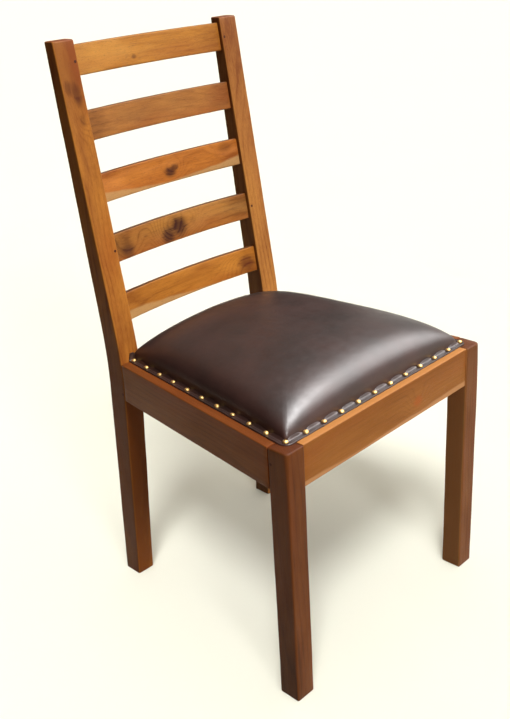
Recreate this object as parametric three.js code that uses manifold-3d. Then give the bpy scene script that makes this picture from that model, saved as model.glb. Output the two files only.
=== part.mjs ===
// A slat-back dining chair: a mortised hardwood frame, five bowed slats pinned
// into raked posts, and a padded leather seat held down by a row of domed nails.
// Millimetres, +Z up, the seat faces -Y, the origin is under the middle of the box.
import * as THREE from 'three';
import { mergeVertices } from 'three/addons/utils/BufferGeometryUtils.js';
import Module from 'manifold-3d';

const wasm = await Module();
wasm.setup();

// Frame
const seatHeight = 450;        // top of the rails and the front legs
const frontWidth = 488;        // over the front legs
const rearWidth = 394;         // over the rear posts
const frameDepth = 464;        // front of the legs to the back of the posts, at the seat
const frontLegWidth = 37;
const frontLegDepth = 38;
const legEdge = 2.5;           // rounding of the long edges of legs and posts
const footBevel = 2;
const topBevel = 1;

// Rear posts
const postHeight = 974;
const postWidth = 40;
const postSeatDepth = 41;
const postTopDepth = 23;
const postFootWidth = 35;
const postFootDepth = 38;
const postLean = 58;           // the top's back face stands this far behind the seat's
const footRake = 26;           // and the foot's this far
const bendLength = 120;        // the stretch over which a post turns at the seat
const postCrown = 4;           // rounding of a post's top end

// Rails
const railHeight = 70;
const railThickness = 30;
const railEdge = 2;
const frontRailRecess = 2.5;   // behind the face of the front legs
const backRailRecess = 5;      // ahead of the back of the posts
const railTenonThickness = 10;
const railTenonHeight = 60;
const crossTenonLength = 12;   // front and back rail, stopped short of the side tenon
const sideTenonLength = 24;

// Slats
const slatCount = 5;
const slatHeight = 48;
const slatThickness = 12;
const slatTopMargin = 33;      // from the post's top to the middle of the first slat
const slatSeatRise = 89;       // from the seat frame's top to the middle of the last one
const slatSetback = 7;         // behind the front face of the posts
const slatBow = 10;
const slatEdge = 2.5;
const slatTenonLength = 22;
const slatTenonHeight = 38;
const slatTenonThickness = 8;
const pinnedSlats = [1, 4];

// Dowel pins through the tenons
const pinRadius = 2.4;
const pinSetback = 5.5;        // from the shoulder of the joint
const frontPinDrop = 26;       // below the seat frame's top, in the front legs
const rearPinDrop = 58;        // and in the rear posts
const pinReach = 4;            // past the near face of the tenon

// Seat
const boardThickness = 9;
const boardClearance = 1;
const blockLeg = 62;           // corner blocks, along each rail
const blockHeight = 28;
const leatherThickness = 2;
const leatherMargin = 4.5;     // from the row of nails to the cut edge
const frontNailInset = 21;     // from the face of the front legs
const sideNailInset = 22.5;    // from the outer face of the side rails
const backNailInset = 26;      // from the back of the posts
const seatCornerRadius = 14;
const crownStart = 5;          // from the row of nails to the foot of the padding
const crownHeight = 70;
const crownReach = 200;        // how far inside its foot the crown's rings reach
const sideCurve = 1.8;         // the crown from side to side: how soon it bends down
const sideRise = 0.3;          // and how steeply it rises from its foot
const endCurve = 3.4;          // the same from front to back
const endRise = 0.4;
const cornerGrowth = 0.7;      // how much rounder each inner ring is
const cornerShare = 0.9;       // of the room that a ring leaves for its corners
const foamLip = 3;

// Domed nails
const nailHeadRadius = 4.6;
const nailHeadHeight = 3.2;
const nailShankRadius = 1;
const nailShankLength = 14;
const nailTip = 3;
const frontNailCount = 12;     // both corners are counted here
const sideNailCount = 10;      // from the second nail to the one before the post
const backNailCount = 8;
const backNailEnd = 17;        // from the face of a post to the first nail of the back row
const lastNailGap = 8;         // from the face of a post to the last nail of the side row

// Fits
const jointGap = 0.3;          // between pieces that touch
const holeGap = 0.3;
const overrun = 5;             // how far a cut passes what it cuts

// How finely curves are stepped
const cornerSteps = 3;
const bendSteps = 6;
const slatSteps = 8;
const ringCornerSteps = 4;
const ringSideSteps = 6;
const nailSides = 8;
const holeSides = 5;
const domeSteps = 3;
const pinSides = 10;

const frontY = -(frameDepth + postLean) / 2;
const backY = frontY + frameDepth;
const legBackY = frontY + frontLegDepth;
const legInnerX = frontWidth / 2 - frontLegWidth;
const postInnerX = rearWidth / 2 - postWidth;
const railBottom = seatHeight - railHeight;
const railMiddle = seatHeight - railHeight / 2;
const seatBase = seatHeight + jointGap;
const boardBottom = seatHeight - boardThickness;

const finishes = {
  hardwood: { color: 0x93592f, roughness: 0.42, metalness: 0 },
  softwood: { color: 0xc9a06a, roughness: 0.75, metalness: 0 },
  plywood: { color: 0xcdb184, roughness: 0.8, metalness: 0 },
  foam: { color: 0xded3a6, roughness: 0.95, metalness: 0 },
  leather: { color: 0x33272a, roughness: 0.35, metalness: 0 },
  brass: { color: 0xd9bd72, roughness: 0.3, metalness: 1 },
};

const chair = new THREE.Group();

function place(name, geometry, finish) {
  const mesh = new THREE.Mesh(geometry, new THREE.MeshStandardMaterial(finishes[finish]));
  mesh.name = name;
  chair.add(mesh);
}

// Triangles turned to face out: a body whose signed volume is negative is inside out.
function facingOut(geometry) {
  const points = geometry.attributes.position;
  const index = geometry.index.array;
  const corner = [new THREE.Vector3(), new THREE.Vector3(), new THREE.Vector3()];
  let volume = 0;
  for (let i = 0; i < index.length; i += 3) {
    corner.forEach((point, j) => point.fromBufferAttribute(points, index[i + j]));
    volume += corner[0].dot(corner[1].cross(corner[2]));
  }
  if (volume < 0) {
    for (let i = 0; i < index.length; i += 3) {
      [index[i], index[i + 1]] = [index[i + 1], index[i]];
    }
  }
  return geometry;
}

// A closed body through rings of equally many points, with a fan at each end.
function loft(rings) {
  const count = rings[0].length;
  const positions = rings.flat(2);
  const faces = [];
  for (let i = 0; i + 1 < rings.length; i += 1) {
    for (let j = 0; j < count; j += 1) {
      const a = i * count + j;
      const b = i * count + ((j + 1) % count);
      faces.push(a, b, b + count, a, b + count, a + count);
    }
  }
  const ends = [rings[0], rings[rings.length - 1]];
  ends.forEach((ring, side) => {
    const middle = positions.length / 3;
    const first = side * (rings.length - 1) * count;
    for (let axis = 0; axis < 3; axis += 1) {
      positions.push(ring.reduce((sum, point) => sum + point[axis], 0) / count);
    }
    for (let j = 0; j < count; j += 1) {
      const a = first + j;
      const b = first + ((j + 1) % count);
      faces.push(...(side ? [a, b, middle] : [b, a, middle]));
    }
  });
  const geometry = new THREE.BufferGeometry();
  geometry.setAttribute('position', new THREE.Float32BufferAttribute(positions, 3));
  geometry.setIndex(faces);
  return facingOut(geometry);
}

function solidOf(geometry) {
  const bare = geometry.clone();
  bare.deleteAttribute('normal');
  bare.deleteAttribute('uv');
  const merged = mergeVertices(bare);
  return new wasm.Manifold(new wasm.Mesh({
    numProp: 3,
    vertProperties: merged.attributes.position.array,
    triVerts: Uint32Array.from(merged.index.array),
  }));
}

function geometryOf(solid) {
  const mesh = solid.getMesh();
  const geometry = new THREE.BufferGeometry();
  geometry.setAttribute('position', new THREE.Float32BufferAttribute(mesh.vertProperties, 3));
  geometry.setIndex(Array.from(mesh.triVerts));
  return geometry;
}

function mirrored(geometry) {
  return facingOut(geometry.clone().scale(-1, 1, 1));
}

const joined = (solids) => solids.reduce((sum, solid) => sum.add(solid));
const cut = (solid, tools) => tools.reduce((rest, tool) => rest.subtract(tool), solid);

// The corner points of a rounded rectangle, counted round it.
function roundedSection(x0, x1, y0, y1, radius) {
  const points = [];
  const corners = [[x1, y1], [x0, y1], [x0, y0], [x1, y0]];
  corners.forEach(([x, y], quarter) => {
    const middleX = x - Math.sign(x - (x0 + x1) / 2) * radius;
    const middleY = y - Math.sign(y - (y0 + y1) / 2) * radius;
    for (let i = 0; i < cornerSteps; i += 1) {
      const angle = (quarter + i / (cornerSteps - 1)) * Math.PI / 2;
      points.push([middleX + radius * Math.cos(angle), middleY + radius * Math.sin(angle)]);
    }
  });
  return points;
}

function box(x0, x1, y0, y1, z0, z1) {
  const geometry = new THREE.BoxGeometry(x1 - x0, y1 - y0, z1 - z0);
  return geometry.translate((x0 + x1) / 2, (y0 + y1) / 2, (z0 + z1) / 2);
}

// A line of a post's side view: straight below and above, turning softly at the seat.
function postLine(z, seatY, footY, topY) {
  const lower = (seatY - footY) / seatHeight;
  const upper = (topY - seatY) / (postHeight - seatHeight);
  const rise = z - seatHeight;
  const into = Math.min(Math.max(rise + bendLength / 2, 0), bendLength);
  const past = Math.max(rise - bendLength / 2, 0);
  return seatY + lower * rise + (upper - lower) * (into * into / (2 * bendLength) + past);
}

const postBackAt = (z) => postLine(z, backY, backY + footRake, backY + postLean);
const postFrontAt = (z) => postLine(
  z,
  backY - postSeatDepth,
  backY + footRake - postFootDepth,
  backY + postLean - postTopDepth,
);
const postInnerAt = (z) => {
  const share = Math.min(z / railBottom, 1);
  return -rearWidth / 2 + postFootWidth + (postWidth - postFootWidth) * share;
};
const slatTilt = Math.atan2(
  postLean - postTopDepth + postSeatDepth,
  postHeight - seatHeight,
);

// Front leg, left, before its joints are cut
function frontLegBody() {
  const ring = (z, inset) => roundedSection(
    -frontWidth / 2 + inset,
    -legInnerX - inset,
    frontY + inset,
    legBackY - inset,
    legEdge,
  ).map(([x, y]) => [x, y, z]);
  return loft([
    ring(0, footBevel),
    ring(footBevel, 0),
    ring(seatHeight - topBevel, 0),
    ring(seatHeight, topBevel),
  ]);
}

// Rear post, left, before its joints are cut
function postBody() {
  const ring = (z, inset) => roundedSection(
    -rearWidth / 2 + inset,
    postInnerAt(z) - inset,
    postFrontAt(z) + inset,
    postBackAt(z) - inset,
    legEdge,
  ).map(([x, y]) => [x, y, z]);
  const rings = [ring(0, footBevel), ring(footBevel, 0), ring(railBottom, 0)];
  const bendBottom = seatHeight - bendLength / 2;
  for (let i = 0; i <= bendSteps; i += 1) {
    rings.push(ring(bendBottom + bendLength * i / bendSteps, 0));
  }
  for (let i = 0; i <= cornerSteps; i += 1) {
    const turn = i / cornerSteps * Math.PI / 2;
    rings.push(ring(
      postHeight - postCrown * (1 - Math.sin(turn)),
      postCrown * (1 - Math.cos(turn)) / 2,
    ));
  }
  return loft(rings);
}

// What the post takes up, with a clearance all round: it cuts the rails and the seat.
function postSpace(clearance, innerX, outerX) {
  const side = new THREE.Shape();
  const bottom = railBottom - overrun;
  const top = seatHeight + bendLength;
  side.moveTo(postFrontAt(bottom) - clearance, bottom);
  for (let i = 0; i <= bendSteps * 2; i += 1) {
    const z = bottom + (top - bottom) * i / (bendSteps * 2);
    side.lineTo(postFrontAt(z) - clearance, z);
  }
  side.lineTo(backY + postLean, top);
  side.lineTo(backY + postLean, bottom);
  side.closePath();
  const depth = innerX - outerX;
  const geometry = new THREE.ExtrudeGeometry(side, { depth, bevelEnabled: false });
  geometry.rotateX(Math.PI / 2).rotateZ(Math.PI / 2);
  return solidOf(geometry.translate(outerX, 0, 0));
}

// A straight rail lies along X: its section is drawn in Y and Z.
function crossRail(halfLength, y0, y1) {
  const body = [-halfLength, halfLength].map((x) => roundedSection(
    y0,
    y1,
    railBottom,
    seatHeight,
    railEdge,
  ).map(([y, z]) => [x, y, z]));
  return loft(body);
}

function crossTenon(halfLength, middleY, clearance) {
  const half = railTenonThickness / 2 + clearance;
  const halfHeight = railTenonHeight / 2 + clearance;
  const reach = halfLength + crossTenonLength + clearance;
  return solidOf(box(
    -reach,
    reach,
    middleY - half,
    middleY + half,
    railMiddle - halfHeight,
    railMiddle + halfHeight,
  ));
}

const frontRailY = frontY + frontRailRecess;
const backRailY = backY - backRailRecess - railThickness;

// The left side rail leans inwards towards the back: its outer face runs from the
// outer back edge of the leg to the outer front edge of the post.
const postShoulderY = postFrontAt(railMiddle);
const sideRun = new THREE.Vector2(
  (frontWidth - rearWidth) / 2,
  postFrontAt(seatHeight) - legBackY,
);
const sideAngle = Math.atan2(sideRun.x, sideRun.y);
const sideLength = sideRun.length();
const sideOuterX = (y) => -frontWidth / 2 + (y - legBackY) * Math.tan(sideAngle);
const sideInnerX = (y) => sideOuterX(y) + railThickness / Math.cos(sideAngle);

// From the rail's own frame, with X across it and Y along it, to the chair's.
function alongSide(geometry) {
  geometry.rotateZ(-sideAngle);
  return geometry.translate(-frontWidth / 2, legBackY, 0);
}

function sideRailBody() {
  const along = [-railThickness, sideLength + railThickness];
  const rings = along.map((y) => roundedSection(
    0,
    railThickness,
    railBottom,
    seatHeight,
    railEdge,
  ).map(([x, z]) => [x, y, z]));
  const ahead = box(
    -frontWidth,
    0,
    frontY - frameDepth,
    legBackY + jointGap,
    railBottom - overrun,
    seatHeight + overrun,
  );
  const behind = postSpace(jointGap, 0, -frontWidth);
  return cut(solidOf(alongSide(loft(rings))), [solidOf(ahead), behind]);
}

function sideTenon(clearance) {
  const half = railTenonThickness / 2 + clearance;
  const halfHeight = railTenonHeight / 2 + clearance;
  return solidOf(alongSide(box(
    railThickness / 2 - half,
    railThickness / 2 + half,
    -sideTenonLength - clearance,
    sideLength + sideTenonLength + clearance,
    railMiddle - halfHeight,
    railMiddle + halfHeight,
  )));
}

// Pins of a side rail: round dowels along X, flush with the outer face of leg and post.
function sidePins(clearance) {
  const spots = [
    [-frontWidth / 2, legBackY - pinSetback, seatHeight - frontPinDrop],
    [-rearWidth / 2, postShoulderY + pinSetback, seatHeight - rearPinDrop],
  ];
  return spots.map(([faceX, y, z]) => {
    const depth = (railThickness - railTenonThickness) / 2 + pinReach;
    const extra = clearance ? overrun : 0;
    const pin = new THREE.CylinderGeometry(
      pinRadius + clearance,
      pinRadius + clearance,
      depth + clearance + extra,
      pinSides,
    );
    pin.rotateZ(Math.PI / 2);
    return solidOf(pin.translate(faceX + (depth + clearance - extra) / 2, y, z));
  });
}

// Slats
const slatSpan = postHeight - slatTopMargin - seatHeight - slatSeatRise;
const slatMiddles = Array.from(
  { length: slatCount },
  (_, i) => postHeight - slatTopMargin - slatSpan * i / (slatCount - 1),
);
const slatFace = (z) => postFrontAt(z) + slatSetback + slatThickness / 2;

// A section tilted with the posts, its middle at the given height, moved back by the bow.
function tilted(x, middleZ, back, [across, up]) {
  const cosine = Math.cos(slatTilt);
  const sine = Math.sin(slatTilt);
  const y = slatFace(middleZ) + back + across * cosine + up * sine;
  return [x, y, middleZ + up * cosine - across * sine];
}

function slatBody(middleZ) {
  const half = postInnerX - jointGap;
  const section = roundedSection(
    -slatThickness / 2,
    slatThickness / 2,
    -slatHeight / 2,
    slatHeight / 2,
    slatEdge,
  );
  const rings = [];
  for (let i = 0; i <= slatSteps; i += 1) {
    const share = 2 * i / slatSteps - 1;
    const back = slatBow * (1 - share * share);
    rings.push(section.map((point) => tilted(share * half, middleZ, back, point)));
  }
  return solidOf(loft(rings));
}

function slatTenons(middleZ, clearance) {
  return [-1, 1].map((side) => {
    const tenon = new THREE.BoxGeometry(
      slatTenonLength + overrun + clearance * 2,
      slatTenonThickness + clearance * 2,
      slatTenonHeight + clearance * 2,
    );
    tenon.rotateX(-slatTilt);
    const middleX = postInnerX + (slatTenonLength - overrun) / 2;
    return solidOf(tenon.translate(side * middleX, slatFace(middleZ), middleZ));
  });
}

function slatPins(middleZ, clearance) {
  const depth = slatSetback + (slatThickness - slatTenonThickness) / 2 + pinReach;
  const extra = clearance ? overrun : 0;
  return [-1, 1].map((side) => {
    const pin = new THREE.CylinderGeometry(
      pinRadius + clearance,
      pinRadius + clearance,
      depth + clearance + extra,
      pinSides,
    );
    pin.translate(0, (depth + clearance - extra) / 2, 0);
    pin.rotateX(-slatTilt);
    const x = side * (postInnerX + pinSetback);
    return solidOf(pin.translate(x, postFrontAt(middleZ), middleZ));
  });
}

// The seat's outline, inset from the cut edge of the leather, as points round it.
const edgeFrontY = frontY + frontNailInset - leatherMargin;
const edgeBackY = backY - backNailInset + leatherMargin;
const edgeSideX = (y) => sideOuterX(y) + (sideNailInset - leatherMargin) / Math.cos(sideAngle);

function seatRing(inset) {
  const slant = inset / Math.cos(sideAngle);
  const y0 = edgeFrontY + inset;
  const y1 = edgeBackY - inset;
  const frontX = -edgeSideX(y0) - slant;
  const backX = -edgeSideX(y1) - slant;
  const room = Math.min(backX, (y1 - y0) / 2);
  const radius = Math.min(seatCornerRadius + inset * cornerGrowth, room * cornerShare);
  const corners = [[frontX, y0], [backX, y1], [-backX, y1], [-frontX, y0]];
  const spots = corners.map(([x, y]) => new THREE.Vector2(x, y));
  const towards = (from, to) => to.clone().sub(from).setLength(radius).add(from);
  return spots.flatMap((corner, i) => {
    const before = spots.at(i - 1);
    const after = spots[(i + 1) % spots.length];
    const bend = new THREE.QuadraticBezierCurve(
      towards(corner, before),
      corner,
      towards(corner, after),
    );
    const side = new THREE.LineCurve(towards(corner, after), towards(after, corner));
    return [
      ...bend.getPoints(ringCornerSteps).slice(0, -1),
      ...side.getPoints(ringSideSteps).slice(0, -1),
    ];
  });
}

// How high the padding stands over a point: a dome that rises steeply from its foot, which
// lies the given distance inside the leather's edge.
function crownAt({ x, y }, inset) {
  const halfDepth = (edgeBackY - edgeFrontY) / 2 - inset;
  const halfWidth = -edgeSideX(y) - inset / Math.cos(sideAngle);
  const across = Math.min(Math.abs(x) / halfWidth, 1);
  const along = Math.min(Math.abs(y - (edgeFrontY + edgeBackY) / 2) / halfDepth, 1);
  return crownHeight * (1 - across ** sideCurve) ** sideRise * (1 - along ** endCurve) ** endRise;
}

const footInset = leatherMargin + crownStart;
const crownShares = [0.015, 0.04, 0.09, 0.18, 0.33, 0.55, 0.8];
const crownInsets = crownShares.map((share) => footInset + share * crownReach);

const ringAt = (inset, z) => seatRing(inset).map((point) => [point.x, point.y, z]);
const crownRing = (inset, z, within) => seatRing(inset).map((point) => [
  point.x,
  point.y,
  z + crownAt(point, footInset + within),
]);

// The leather: its cut edge and flat margin, then up over the padding to the middle, and
// back along its underside.
function leatherBody() {
  const top = seatBase + leatherThickness;
  const upper = crownInsets.map((inset) => crownRing(inset, top, 0));
  const lower = crownInsets.map((inset) => crownRing(inset, seatBase, leatherThickness));
  return solidOf(loft([
    ...lower.reverse(),
    ringAt(footInset, seatBase),
    ringAt(0, seatBase),
    ringAt(0, top),
    ringAt(footInset, top),
    ...upper,
  ]));
}

// The foam, from its middle outwards like the leather's underside, so that their facets
// lie alike.
function foamBody() {
  const inside = leatherThickness + jointGap;
  const insets = crownInsets.filter((inset) => inset > footInset + inside + foamLip);
  const upper = insets.map((inset) => crownRing(inset, seatBase - jointGap, inside));
  return solidOf(loft([...upper.reverse(), ringAt(insets[0], seatBase)]));
}

// Nails: their places lie on one line round the seat, evenly spaced along each side.
const nailFrontY = frontY + frontNailInset;
const nailSideX = (y) => sideOuterX(y) + sideNailInset / Math.cos(sideAngle);
const cornerPull = seatCornerRadius / 4;
const cornerNail = [nailSideX(nailFrontY) + cornerPull, nailFrontY + cornerPull];
const lastNailY = postFrontAt(seatHeight) - lastNailGap;
const nails = [];
for (let i = 0; i < frontNailCount; i += 1) {
  const share = i / (frontNailCount - 1);
  const atCorner = i === 0 || i === frontNailCount - 1;
  nails.push({
    name: `nail_front_${String(i + 1).padStart(2, '0')}`,
    x: cornerNail[0] * (1 - 2 * share),
    y: atCorner ? cornerNail[1] : nailFrontY,
  });
}
for (const [label, side] of [['left', 1], ['right', -1]]) {
  for (let i = 1; i <= sideNailCount; i += 1) {
    const y = cornerNail[1] + (lastNailY - cornerNail[1]) * i / sideNailCount;
    nails.push({
      name: `nail_${label}_${String(i).padStart(2, '0')}`,
      x: side * nailSideX(y),
      y,
    });
  }
}
for (let i = 0; i < backNailCount; i += 1) {
  const share = i / (backNailCount - 1);
  nails.push({
    name: `nail_back_${String(i + 1).padStart(2, '0')}`,
    x: (postInnerX - backNailEnd) * (2 * share - 1),
    y: backY - backNailInset,
  });
}

function nailGeometry() {
  const profile = [
    new THREE.Vector2(0, -nailShankLength),
    new THREE.Vector2(nailShankRadius, nailTip - nailShankLength),
    new THREE.Vector2(nailShankRadius, 0),
  ];
  for (let i = 0; i <= domeSteps; i += 1) {
    const angle = i / domeSteps * Math.PI / 2;
    const radius = i === domeSteps ? 0 : nailHeadRadius * Math.cos(angle);
    profile.push(new THREE.Vector2(radius, nailHeadHeight * Math.sin(angle)));
  }
  return new THREE.LatheGeometry(profile, nailSides).rotateX(Math.PI / 2);
}

const nailSeatZ = seatBase + leatherThickness + jointGap;
const nailHoles = nails.map(({ x, y }) => {
  const bottom = nailSeatZ - nailShankLength - holeGap;
  const top = nailSeatZ + overrun;
  const radius = nailShankRadius + holeGap;
  const hole = new THREE.CylinderGeometry(radius, radius, top - bottom, holeSides);
  return solidOf(hole.rotateX(Math.PI / 2).translate(x, y, (top + bottom) / 2));
});

// A corner block: a three-cornered prism in the angle of two rails, under the board.
function cornerBlock(y, towards, column) {
  const cornerY = y + towards * jointGap;
  const gap = jointGap / Math.cos(sideAngle);
  const farY = cornerY + towards * blockLeg;
  const outline = new THREE.Shape();
  outline.moveTo(sideInnerX(cornerY) + gap, cornerY);
  outline.lineTo(sideInnerX(cornerY) + gap + blockLeg, cornerY);
  outline.lineTo(sideInnerX(farY) + gap, farY);
  outline.closePath();
  const block = new THREE.ExtrudeGeometry(outline, { depth: blockHeight, bevelEnabled: false });
  block.translate(0, 0, boardBottom - jointGap - blockHeight);
  return geometryOf(cut(solidOf(block), [column]));
}

const legSpace = (clearance) => solidOf(box(
  -frontWidth,
  -legInnerX + clearance,
  frontY - overrun,
  legBackY + clearance,
  railBottom - overrun,
  seatHeight + overrun,
));

// Seat board: plywood let in between the rails, flush with their tops.
function seatBoard() {
  const gap = boardClearance / Math.cos(sideAngle);
  const y0 = frontRailY + railThickness + boardClearance;
  const y1 = backRailY - boardClearance;
  const outline = new THREE.Shape();
  outline.moveTo(sideInnerX(y0) + gap, y0);
  outline.lineTo(-sideInnerX(y0) - gap, y0);
  outline.lineTo(-sideInnerX(y1) - gap, y1);
  outline.lineTo(sideInnerX(y1) + gap, y1);
  outline.closePath();
  const board = new THREE.ExtrudeGeometry(outline, { depth: boardThickness, bevelEnabled: false });
  board.translate(0, 0, boardBottom);
  const leftColumns = [
    legSpace(boardClearance),
    postSpace(boardClearance, -postInnerX + boardClearance, -frontWidth),
  ];
  const columns = leftColumns.flatMap((column) => [column, solidOf(mirrored(geometryOf(column)))]);
  return geometryOf(cut(solidOf(board), columns));
}

const left = {};
const sideTenonHole = sideTenon(holeGap);
const frontTenonY = frontRailY + railThickness / 2;
const backTenonY = backRailY + railThickness / 2;

left.leg = geometryOf(cut(solidOf(frontLegBody()), [
  sideTenonHole,
  crossTenon(legInnerX, frontTenonY, holeGap),
  ...sidePins(holeGap),
  ...nailHoles,
]));
left.post = geometryOf(cut(solidOf(postBody()), [
  sideTenonHole,
  crossTenon(postInnerX, backTenonY, holeGap),
  ...sidePins(holeGap),
  ...slatMiddles.flatMap((middle) => slatTenons(middle, holeGap)),
  ...pinnedSlats.flatMap((number) => slatPins(slatMiddles[number - 1], holeGap)),
]));
left.sideRail = geometryOf(cut(
  joined([sideRailBody(), sideTenon(0), ...sidePins(0)]),
  nailHoles,
));
left.frontBlock = cornerBlock(frontRailY + railThickness, 1, legSpace(jointGap));
left.rearBlock = cornerBlock(
  backRailY,
  -1,
  postSpace(jointGap, -postInnerX + jointGap, -frontWidth),
);

const pairs = [
  ['leg', 'front_leg', 'hardwood'],
  ['post', 'rear_post', 'hardwood'],
  ['sideRail', 'side_rail', 'hardwood'],
  ['frontBlock', 'front_block', 'softwood'],
  ['rearBlock', 'rear_block', 'softwood'],
];
for (const [key, name, finish] of pairs) {
  place(`${name}_left`, left[key], finish);
  place(`${name}_right`, mirrored(left[key]), finish);
}

const crossRails = [
  ['front_rail', legInnerX, frontRailY, frontTenonY],
  ['back_rail', postInnerX, backRailY, backTenonY],
];
for (const [name, innerX, y, tenonY] of crossRails) {
  const body = solidOf(crossRail(innerX - jointGap, y, y + railThickness));
  const whole = joined([body, crossTenon(innerX, tenonY, 0)]);
  place(name, geometryOf(cut(whole, nailHoles)), 'hardwood');
}

slatMiddles.forEach((middle, i) => {
  const number = i + 1;
  const pins = pinnedSlats.includes(number) ? slatPins(middle, 0) : [];
  const whole = joined([slatBody(middle), ...slatTenons(middle, 0), ...pins]);
  place(`slat_${number}`, geometryOf(whole), 'hardwood');
});

place('seat_board', seatBoard(), 'plywood');

const leftPostSpace = postSpace(jointGap, -postInnerX + jointGap, -frontWidth);
const postSpaces = [leftPostSpace, solidOf(mirrored(geometryOf(leftPostSpace)))];
place('seat_foam', geometryOf(cut(foamBody(), postSpaces)), 'foam');
place('seat_leather', geometryOf(cut(leatherBody(), [...postSpaces, ...nailHoles])), 'leather');

for (const { name, x, y } of nails) {
  place(name, nailGeometry().translate(x, y, nailSeatZ), 'brass');
}

// The origin goes under the middle of the whole chair's box.
const bounds = new THREE.Box3().setFromObject(chair);
chair.position.y = -bounds.getCenter(new THREE.Vector3()).y;

export default chair;
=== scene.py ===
import math
import bpy
import numpy as np
from mathutils import Matrix, Vector


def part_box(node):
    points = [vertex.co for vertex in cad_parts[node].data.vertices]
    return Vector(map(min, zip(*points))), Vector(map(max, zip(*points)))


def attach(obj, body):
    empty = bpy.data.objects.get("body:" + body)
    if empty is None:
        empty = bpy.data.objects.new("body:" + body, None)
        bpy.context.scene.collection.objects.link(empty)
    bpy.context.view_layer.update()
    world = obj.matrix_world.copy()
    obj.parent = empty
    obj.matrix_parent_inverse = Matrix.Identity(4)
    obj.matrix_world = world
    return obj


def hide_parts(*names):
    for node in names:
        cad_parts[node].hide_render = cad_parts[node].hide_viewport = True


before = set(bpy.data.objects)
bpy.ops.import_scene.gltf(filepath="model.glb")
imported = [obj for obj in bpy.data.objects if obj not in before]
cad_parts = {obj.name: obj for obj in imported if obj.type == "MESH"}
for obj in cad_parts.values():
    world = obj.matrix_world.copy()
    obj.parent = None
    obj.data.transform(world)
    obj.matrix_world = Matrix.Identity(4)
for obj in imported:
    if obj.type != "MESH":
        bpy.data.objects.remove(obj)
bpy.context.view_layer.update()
mm = 0.001
print("frame loaded:", len(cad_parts), "nodes")

# The camera stands in front of the chair and to its left, and looks down on it.
camera = {
    "place": (-1.06813, -1.05754, 1.12286),
    "turn": -44.28,      # degrees from straight along +Y
    "tilt": -24.58,
    "roll": -3.55,
    "lens": 47.79,       # on a 36 mm sensor, along the longer side of the picture
}


def makeCamera(values):
    turn, tilt, roll = (math.radians(values[key]) for key in ("turn", "tilt", "roll"))
    forward = Vector((-math.sin(turn) * math.cos(tilt), math.cos(turn) * math.cos(tilt), math.sin(tilt)))
    right = forward.cross(Vector((0, 0, 1))).normalized()
    up = right.cross(forward)
    across = math.cos(roll) * right + math.sin(roll) * up
    upward = math.cos(roll) * up - math.sin(roll) * right
    data = bpy.data.cameras.new("viewCamera")
    data.sensor_width = 36
    data.lens = values["lens"]
    data.clip_end = 300
    eye = bpy.data.objects.new("viewCamera", data)
    turned = Matrix((across, upward, -forward)).transposed().to_4x4()
    eye.matrix_world = Matrix.Translation(values["place"]) @ turned
    bpy.context.scene.collection.objects.link(eye)
    bpy.context.scene.camera = eye


# sRGB hex to linear: c / 12.92 up to 0.04045, else ((c + 0.055) / 1.055) to the power 2.4
def linear(hexText):
    parts = [int(hexText[i:i + 2], 16) / 255 for i in (1, 3, 5)]
    return tuple(c / 12.92 if c <= 0.04045 else ((c + 0.055) / 1.055) ** 2.4 for c in parts) + (1,)


# Adds a node, gives it its settings, then links or sets its inputs. A node given as a value
# stands for its first output, and a Mix node for its colour.
def addNode(tree, kind, inputs=None, **settings):
    node = tree.nodes.new("ShaderNode" + kind)
    for key, value in settings.items():
        setattr(node, key, value)
    for key, value in (inputs or {}).items():
        if isinstance(value, bpy.types.Node):
            value = value.outputs[2 if value.bl_idname == "ShaderNodeMix" else 0]
        if isinstance(value, bpy.types.NodeSocket):
            tree.links.new(value, node.inputs[key])
        else:
            node.inputs[key].default_value = value
    return node


# 1 where a ray comes from the camera, from a mirror or through glass, else 0
def seenShare(tree):
    path = addNode(tree, "LightPath")
    shown = addNode(tree, "Math", {
        0: path.outputs["Is Camera Ray"], 1: path.outputs["Is Transmission Ray"],
    }, operation="MAXIMUM")
    return addNode(tree, "Math", {0: shown, 1: path.outputs["Is Glossy Ray"]}, operation="MAXIMUM")


def newMaterial(name):
    material = bpy.data.materials.new(name)
    material.use_nodes = True
    material.node_tree.nodes.clear()
    return material, material.node_tree


makeCamera(camera)
bpy.context.scene.view_settings.view_transform = "Standard"

# A wide soft key from the front, a weak fill from behind, two soft panes for the leather to
# mirror, and a room that gives less light on the chair's left. The photo's shadow falls away
# from the camera, which is not the way the light falls on its chair, so the floor has suns
# of its own.
light = {
    # turn from straight in front towards the chair's right and height, in degrees, power, spread
    "key": (0, 39, 3.0, 26),
    "fill": (150, 18, 0.8, 60),
    "floorHigh": (-48, 55, 2.4, 17),
    "floorLow": (-22, 28, 1.0, 16),
    # turn, height, power, size
    "window": (69, 37, 98, (2.2, 1.3)),
    "softbox": (46, 65, 215, (1.3, 1.2)),
    "paneFar": 3.2,            # how far the panes stand from the seat
    "aim": 0.45,               # the height they look at
    "roomBright": 0.29,
    "roomDark": 0.0,
    "roomStep": (-0.75, 0.35),   # between these X of a direction the room goes from dark to bright
    "ceiling": 0.85,           # added overhead
    "wallTop": 0.4,            # how bright the seen room is overhead
    "wallStep": (0.22, 0.44),  # between these Z it gets there
    "seenPaint": "#f5f5e6",    # the floor as it is seen
    "skyPaint": "#fffff7",
    "bouncePaint": "#77746b",  # the floor as it lights the chair
    "cardPaint": "#2a2623",
    # from where to where on the floor, and how tall
    "cards": {"darkCard": ((-2.2, -1.2), (0.2, 4.2), 3.4), "backCard": ((0.2, 4.2), (3.6, 2.3), 2.2)},
}


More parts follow.
